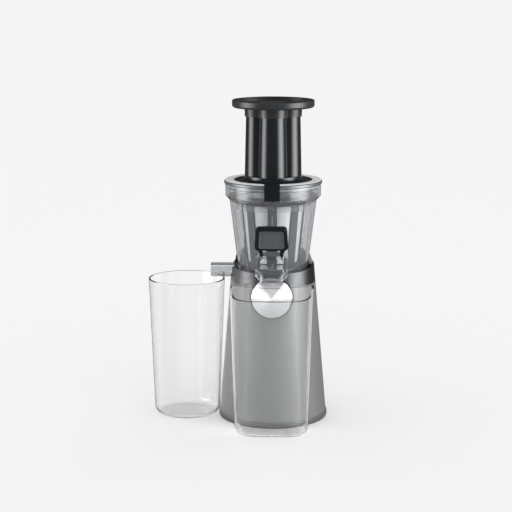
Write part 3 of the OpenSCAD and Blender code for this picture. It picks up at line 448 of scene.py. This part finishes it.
def beyond(m, radius):
    """One where the surface lies further than a radius from the upright axis."""
    reach = add_node(m, "ShaderNodeVectorMath", operation="LENGTH")
    join(m, coordinates(m, (1, 1, 0)), reach.inputs[0])
    return greater(m, reach.outputs["Value"], radius)


def by_height(m, level, **pairs):
    """Gives sockets of the shader one value below a height and another above it."""
    for socket, (low, high) in pairs.items():
        change = add_node(m, "ShaderNodeMapRange")
        change.inputs["To Min"].default_value = low
        change.inputs["To Max"].default_value = high
        join(m, above(m, level), change.inputs["Value"])
        join(m, change.outputs["Result"], skin_of(m).inputs[socket.replace("_", " ")])


def repaint_outside(m, mask, colour):
    """Keeps the colour where the mask is one, and gives the rest a plain one."""
    blend = add_node(m, "ShaderNodeMix", data_type="RGBA")
    blend.inputs["A"].default_value = (*colour, 1)
    join(m, skin_of(m).inputs["Base Color"].links[0].from_socket, blend.inputs["B"])
    join(m, mask, blend.inputs["Factor"])
    join(m, blend.outputs["Result"], skin_of(m).inputs["Base Color"])


TAB_REACH = 0.0612
SKIRT_DROP = 0.0003
RING_EDGE = 0.0004
DISH_RISE = 0.002
ring_low, ring_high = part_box("lid_ring")


def ring_silver():
    """Pale on its flat top, darker on its lip. The dark lip is partly painted shade, put into its colour
    because the lip faces away from the lamps, and partly a two-tone finish of a pale top and a darker
    polished lip.
    """
    m = shader("ring_silver", (0.6, 0.61, 0.61), 0.35, 0.2)
    level = ring_high.z - RING_EDGE
    by_height(m, level, Roughness=(0.36, 0.4), Metallic=(0.7, 0.1))
    tint(m, (0.58, 0.59, 0.59), (0.66, 0.67, 0.67), 0.006)
    # Painted shade, in part: below the flat top the lip gets a dark grey colour for the shade it stands in,
    # besides its darker polished finish.
    repaint_outside(m, above(m, level), (0.2, 0.207, 0.21))
    grain(m, 0.0006, 0.00003)
    return m


def lid_black():
    """Glossy on the feed tube, duller in the dish, and grey on the skirt that plugs the bowl.

    The tab beyond the ring reaches down beside the skirt, and is black as well.
    """
    m = gloss_black()
    m.name = "lid_black"
    by_height(m, ring_high.z + DISH_RISE, Specular_IOR_Level=(0.1, 0.62), Roughness=(0.3, 0.18))
    either = add_node(m, "ShaderNodeMath", operation="MAXIMUM")
    join(m, above(m, ring_low.z - SKIRT_DROP), either.inputs[0])
    join(m, beyond(m, TAB_REACH), either.inputs[1])
    repaint_outside(m, either.outputs["Value"], (0.36, 0.375, 0.38))
    return m


FINISH = {
    "silver_paint": silver_paint(),
    "brushed_steel": brushed_steel(),
    "gloss_black": gloss_black(),
    "satin_dark": satin_dark(),
    "ring_silver": ring_silver(),
    "dial_chrome": dial_chrome(),
    "tray_black": tray_black(),
    "lid_black": lid_black(),
    "black_rubber": rubber("black_rubber", (0.02, 0.021, 0.023)),
    "grey_silicone": rubber("grey_silicone", (0.05, 0.056, 0.06)),
    "wiper_silicone": rubber("wiper_silicone", (0.22, 0.225, 0.23)),
    "auger_plastic": moulded("auger_plastic", (0.018, 0.019, 0.021), 0.35),
    "frame_plastic": moulded("frame_plastic", (0.042, 0.045, 0.048), 0.35),
    "black_plastic": moulded("black_plastic", (0.016, 0.017, 0.019), 0.42),
    "gear_plastic": moulded("gear_plastic", (0.7, 0.66, 0.55), 0.4),
    "circuit_board": moulded("circuit_board", (0.03, 0.15, 0.07), 0.4),
    "steel": turned_metal("steel", (0.62, 0.63, 0.64), 0.22),
    "punched_steel": sheet_steel(),
    "bronze": turned_metal("bronze", (0.55, 0.36, 0.14), 0.3),
    "die_cast": cast_metal("die_cast", (0.32, 0.33, 0.34)),
    "motor_iron": cast_metal("motor_iron", (0.24, 0.25, 0.27)),
    "rotor_steel": turned_metal("rotor_steel", (0.45, 0.4, 0.34), 0.35),
}
print(len(FINISH), "opaque finishes")

# %% [markdown]
# Clear plastic bends light like glass. Seen edge on, a wall of it looks dark, because light has a long way
# through it there and little comes out towards the eye. Layer Weight gives that: the tint deepens where the
# surface turns away. A little haze, which is light scattered by the plastic itself, lifts the dark pieces
# behind the bowl. Lamps shine through the plastic without the slow search for bent light paths, which keeps
# the shadows of the vessels pale and clean.

# %% Clear finishes


def clear_plastic(name, face, edge, rough, turn, haze=0.0, gloss=0.5):
    """Face is the tint seen straight on, edge the tint where the wall is seen along its length.

    From turn on, as the surface turns away, the face tint gives way to the edge tint. Haze is the share of
    the light that the plastic scatters, and gloss is how strongly it mirrors.
    """
    m = shader(name, face, rough, 0.0, Transmission_Weight=1 - haze, IOR=1.49, Specular_IOR_Level=gloss)
    skin = skin_of(m)
    weight = add_node(m, "ShaderNodeLayerWeight", Blend=0.5)
    spread = add_node(m, "ShaderNodeMapRange")
    spread.inputs["From Min"].default_value = turn
    spread.inputs["From Max"].default_value = 0.98
    join(m, weight.outputs["Facing"], spread.inputs["Value"])
    deepen = add_node(m, "ShaderNodeMix", data_type="RGBA")
    deepen.inputs["A"].default_value = (*face, 1)
    deepen.inputs["B"].default_value = (*edge, 1)
    join(m, spread.outputs["Result"], deepen.inputs["Factor"])
    join(m, deepen.outputs["Result"], skin.inputs["Base Color"])
    grain(m, 0.02, 0.00003, strength=0.08)
    gap = add_node(m, "ShaderNodeBsdfTransparent")
    gap.inputs["Color"].default_value = (*[0.5 + 0.5 * c for c in face], 1)
    ray = add_node(m, "ShaderNodeLightPath")
    either = add_node(m, "ShaderNodeMixShader")
    join(m, ray.outputs["Is Shadow Ray"], either.inputs["Fac"])
    join(m, skin.outputs["BSDF"], either.inputs[1])
    join(m, gap.outputs["BSDF"], either.inputs[2])
    join(m, either.outputs["Shader"], m.node_tree.nodes["Material Output"].inputs["Surface"])
    return m


FINISH["clear"] = clear_plastic(
    "clear_plastic", face=(0.985, 0.99, 0.99), edge=(0.3, 0.31, 0.32), rough=0.02, turn=0.84)
FINISH["smoky"] = clear_plastic(
    "smoky_plastic", face=(0.7, 0.715, 0.73), edge=(0.25, 0.26, 0.27), rough=0.0, turn=0.5,
    haze=0.04, gloss=0.2)
FINISH["frosted"] = clear_plastic(
    "frosted_plastic", face=(0.86, 0.87, 0.88), edge=(0.5, 0.51, 0.52), rough=0.02, turn=0.6,
    haze=0.04, gloss=0.3)
print("clear finishes: clear, smoky, frosted")

# %% [markdown]
# Every node of the model now gets its finish. A table of finish and nodes keeps this in one place.

# %% Dress the model's nodes
WORN = {
    "satin_dark": ["foot_ring"],
    "tray_black": ["feed_tray"],
    "lid_black": ["lid_plate"],
    "black_plastic": ["bottom_plate", "dial_bezel", "rotary_switch", "hinge_pin"],
    "steel": ["bottom_screws", "gearbox_screws", "motor_bearings", "idler_axle", "output_bearing",
              "drive_shaft"],
    "silver_paint": ["base_housing"],
    "brushed_steel": ["base_collar"],
    "gloss_black": ["bowl_cradle", "cap_frame"],
    "ring_silver": ["lid_ring"],
    "dial_chrome": ["control_dial"],
    "black_rubber": ["cord_gland", "chute_seal", "shaft_seal", "rubber_feet"],
    "grey_silicone": ["bowl_seal", "cap_seal", "lid_gasket", "spout_comb"],
    "wiper_silicone": ["brush_wipers"],
    "circuit_board": ["control_board"],
    "motor_iron": ["motor_case"],
    "rotor_steel": ["motor_rotor"],
    "die_cast": ["gearbox_plate", "gearbox_cover"],
    "gear_plastic": ["idler_gear", "brush_pinion", "auger_bush"],
    "bronze": ["deck_bush"],
    "auger_plastic": ["auger"],
    "frame_plastic": ["strainer_frame"],
    "punched_steel": ["strainer_mesh"],
    "smoky": ["bowl"],
    "frosted": ["brush_frame"],
    "clear": ["juice_jug", "pulp_container"],
}


def wear(piece, material):
    """Gives a piece this one material."""
    piece.data.materials.clear()
    piece.data.materials.append(material)


for finish, names in WORN.items():
    for name in names:
        wear(nodes[name], FINISH[finish])
left = sorted(set(nodes) - {n for names in WORN.values() for n in names})
print("nodes without a finish:", left)

# %% [markdown]
# New pieces are modelled with the same tools as by hand: a primitive is placed, its faces or edges are picked
# by their place, and operators shape them. These helpers pick, apply a modifier, cut, and finish a piece, so
# that its object sits at the origin and its place is in its mesh, as for the nodes of the CAD model.

# %% Helpers for modelling


def only(piece):
    """Selects this piece alone."""
    if bpy.context.object and bpy.context.object.mode != "OBJECT":
        bpy.ops.object.mode_set(mode="OBJECT")
    bpy.ops.object.select_all(action="DESELECT")
    piece.select_set(True)
    bpy.context.view_layer.objects.active = piece


def edit(piece):
    only(piece)
    bpy.ops.object.mode_set(mode="EDIT")
    bpy.ops.mesh.select_all(action="SELECT")


def middle_of(part, kind):
    return part.co if kind == "VERT" else (part.verts[0].co + part.verts[1].co) / 2


def pick(kind, test):
    """In edit mode, selects the vertices or edges whose middle passes the test."""
    bpy.ops.mesh.select_mode(type=kind)
    bpy.ops.mesh.select_all(action="DESELECT")
    mesh = bpy.context.object.data
    work = bmesh.from_edit_mesh(mesh)
    for part in {"VERT": work.verts, "EDGE": work.edges}[kind]:
        part.select_set(bool(test(middle_of(part, kind))))
    work.select_flush_mode()
    bmesh.update_edit_mesh(mesh)


def modify(piece, kind, **settings):
    """Adds a modifier and applies it."""
    only(piece)
    made = piece.modifiers.new(kind.lower(), kind)
    for key, value in settings.items():
        setattr(made, key, value)
    bpy.ops.object.modifier_apply(modifier=made.name)


def cut_by(piece, cutter):
    """Cuts a closed cutter out of a closed piece, and takes the cutter away."""
    modify(piece, "BOOLEAN", object=cutter, operation="DIFFERENCE", solver="EXACT")
    bpy.data.objects.remove(cutter)


def body_of(node):
    """The body that a node of the model rides on."""
    return next(body for body, names in frame["record"]["behaviour"]["bodies"].items() if node in names)


def finished(piece, name, finish, stands_for, smooth=35):
    """Smooths, names and dresses the piece, which rides on the body of the node that it stands for."""
    only(piece)
    bpy.ops.object.transform_apply(location=True, rotation=True, scale=True)
    bpy.ops.object.shade_smooth_by_angle(angle=math.radians(smooth))
    modify(piece, "WEIGHTED_NORMAL", weight=100, keep_sharp=True)
    piece.name = name
    piece.data.name = name
    wear(piece, FINISH[finish])
    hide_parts(stands_for)
    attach(piece, body_of(stands_for))
    sides = [round(side * 1000, 1) for side in piece.dimensions]
    print(name, len(piece.data.polygons), "faces,", sides, "mm")


print("helpers: only, edit, pick, modify, cut_by, body_of, finished")

# %% [markdown]
# The juice jug is a clear moulded cup, nearly square from above, whose hollow back nestles against the round
# foot of the base. A plain box would be wrong, because the sides bow out and the corners are soft. So a
# square is bevelled at its corners until it is a rounded square, and drawn up with a slight taper. The same
# form, drawn in by the wall, hollows it out. A round cutter makes the hollow back, and bisect tilts the rim.

# %% Juice jug
JUG_WALL = 0.0022
JUG_TAPER = 0.006
JUG_LEAN = 0.008
JUG_FALL = 0.009
JUG_ROUND = 0.009
JUG_MIDDLE = -0.048
JUG_CORNER = 0.747
RIM_BEVEL = 0.0006
NEAR_MIDDLE = 0.004

jug_low, jug_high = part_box("juice_jug")
foot_low, foot_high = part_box("foot_ring")
foot_y = (foot_low.y + foot_high.y) / 2
hollow_y = max(v.co.y for v in nodes["juice_jug"].data.vertices if abs(v.co.x) < NEAR_MIDDLE)
hollow_r = foot_y - hollow_y


def jug_form(wall):
    """The jug's outer form, or its inner form, drawn in by the wall."""
    half = jug_high.x - wall
    reach = JUG_MIDDLE - jug_low.y - wall
    bpy.ops.mesh.primitive_plane_add(size=2, location=(0, 0, 0))
    form = bpy.context.object
    edit(form)
    bpy.ops.mesh.bevel(offset=0.999, segments=12, profile=JUG_CORNER, affect="VERTICES")
    bpy.ops.mesh.remove_doubles(threshold=0.004)
    bpy.ops.transform.resize(value=(half - JUG_TAPER, reach - JUG_LEAN, 1), center_override=(0, 0, 0))
    bpy.ops.transform.translate(value=(0, JUG_MIDDLE, wall))
    bpy.ops.mesh.extrude_region_move(TRANSFORM_OT_translate={"value": (0, 0, jug_high.z - wall + 4 * wall)})
    widen = (half / (half - JUG_TAPER), reach / (reach - JUG_LEAN), 1)
    bpy.ops.transform.resize(value=widen, center_override=(0, JUG_MIDDLE, 0))
    bpy.ops.mesh.select_all(action="SELECT")
    bpy.ops.mesh.normals_make_consistent(inside=False)
    pick("EDGE", lambda middle: middle.z < wall + 1e-5)
    bpy.ops.mesh.bevel(offset=JUG_ROUND - wall, segments=6, affect="EDGES")
    bpy.ops.object.mode_set(mode="OBJECT")
    return form


def round_cutter(radius):
    """An upright cylinder round the middle of the foot."""
    bpy.ops.mesh.primitive_cylinder_add(vertices=128, radius=radius, depth=1, location=(0, foot_y, 0))
    return bpy.context.object


room = jug_form(JUG_WALL)
cut_by(room, round_cutter(hollow_r + JUG_WALL))
jug = jug_form(0)
edit(jug)
fall = JUG_FALL / (hollow_y - jug_low.y)
bpy.ops.mesh.bisect(plane_co=(0, hollow_y, jug_high.z), plane_no=(0, -fall, 1),
                    use_fill=True, clear_outer=True)
bpy.ops.object.mode_set(mode="OBJECT")
cut_by(jug, room)
cut_by(jug, round_cutter(hollow_r))
modify(jug, "BEVEL", width=RIM_BEVEL, segments=2, limit_method="ANGLE", angle_limit=math.radians(45))
finished(jug, "jug", "clear", "juice_jug")

# %% [markdown]
# The strainer is a cone of punched steel sheet. Its round holes stand in staggered rows, and juice runs
# through them. A pattern in the material would have no thickness, so the holes are real. One cell is a small
# plane with a bevelled point in its middle for a hole. Arrays repeat it to a sheet, which is then rolled up
# to the cone of the model, and Solidify gives the sheet its thickness. The bands at its ends stay plain.

# %% Punched strainer
HOLE_PITCH = 0.0028
HOLE_ROW = 0.00243
HOLE_R = 0.0009
PLAIN_BANDS = 0.012
SHEET = 0.0006

mesh_low, mesh_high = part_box("strainer_mesh")


def end_radius(level):
    """Outer radius of the model's plain strainer sheet at one of its ends."""
    return max(math.hypot(v.co.x, v.co.y) for v in nodes["strainer_mesh"].data.vertices
               if abs(v.co.z - level) < 1e-4)


low_r, high_r = end_radius(mesh_low.z), end_radius(mesh_high.z)


def radius_at(z):
    """Outer radius of the cone at a height."""
    return low_r + (high_r - low_r) * (z - mesh_low.z) / (mesh_high.z - mesh_low.z)


columns = round(math.pi * (low_r + high_r) / HOLE_PITCH)
rows = int((mesh_high.z - mesh_low.z - PLAIN_BANDS) / HOLE_ROW / 2) * 2
print(columns, "columns and", rows, "rows of holes")

bpy.ops.mesh.primitive_plane_add(size=1, location=(0, 0, 0))
sheet = bpy.context.object
edit(sheet)
bpy.ops.mesh.subdivide(number_cuts=1)
bpy.ops.transform.resize(value=(HOLE_PITCH, HOLE_ROW, 1), center_override=(0, 0, 0))
pick("VERT", lambda middle: middle.length < 1e-6)
bpy.ops.mesh.bevel(offset=HOLE_R, segments=2, affect="VERTICES")
pick("VERT", lambda middle: middle.length < 1e-6)
bpy.ops.mesh.delete(type="VERT")
bpy.ops.object.mode_set(mode="OBJECT")
for count, right, up in ((2, HOLE_PITCH / 2, HOLE_ROW),
                         (rows // 2, 0, 2 * HOLE_ROW),
                         (columns, HOLE_PITCH, 0)):
    modify(sheet, "ARRAY", count=count, use_relative_offset=False, use_constant_offset=True,
           constant_offset_displace=(right, up, 0), use_merge_vertices=True, merge_threshold=1e-5)

start_z = (mesh_low.z + mesh_high.z - rows * HOLE_ROW) / 2 + HOLE_ROW / 2
for v in sheet.data.vertices:
    z = start_z + v.co.y
    turn = -2 * math.pi * v.co.x / (columns * HOLE_PITCH)
    v.co = (radius_at(z) * math.sin(turn), -radius_at(z) * math.cos(turn), z)
edit(sheet)
bpy.ops.mesh.remove_doubles(threshold=2e-5)
for edge_z, end_z, end_r in ((start_z - HOLE_ROW / 2, mesh_low.z, low_r),
                             (start_z + (rows - 0.5) * HOLE_ROW, mesh_high.z, high_r)):
    pick("EDGE", lambda middle: abs(middle.z - edge_z) < 1e-5)
    widen = end_r / radius_at(edge_z)
    bpy.ops.mesh.extrude_region_move(TRANSFORM_OT_translate={"value": (0, 0, end_z - edge_z)})
    bpy.ops.transform.resize(value=(widen, widen, 1), center_override=(0, 0, 0))
bpy.ops.mesh.select_all(action="SELECT")
bpy.ops.mesh.normals_make_consistent(inside=False)
bpy.ops.object.mode_set(mode="OBJECT")
outward = sum(f.normal.dot(Vector((f.center.x, f.center.y, 0))) for f in sheet.data.polygons)
if outward < 0:
    edit(sheet)
    bpy.ops.mesh.flip_normals()
    bpy.ops.object.mode_set(mode="OBJECT")
modify(sheet, "SOLIDIFY", thickness=SHEET, offset=-1)
finished(sheet, "punched_sheet", "punched_steel", "strainer_mesh")

# %% [markdown]
# The auger and the spout's cap have round edges and flights, which come from the CAD model as flat facets.
# A copy whose doubles are merged can be shaded smooth, so that light runs over the flights without breaks.

# %% Smooth copies


def smooth_copy(node, name, finish, angle=42):
    """A merged and smoothed copy of a node, which stands for it."""
    only(nodes[node])
    bpy.ops.object.duplicate()
    copy = bpy.context.object
    for key in list(copy.keys()):
        del copy[key]
    copy.parent = None
    edit(copy)
    bpy.ops.mesh.remove_doubles(threshold=1e-6)
    bpy.ops.object.mode_set(mode="OBJECT")
    finished(copy, name, finish, node, angle)


smooth_copy("auger", "screw", "auger_plastic")
smooth_copy("cap_frame", "cap", "gloss_black", 50)
smooth_copy("cap_seal", "cap_pad", "grey_silicone", 50)
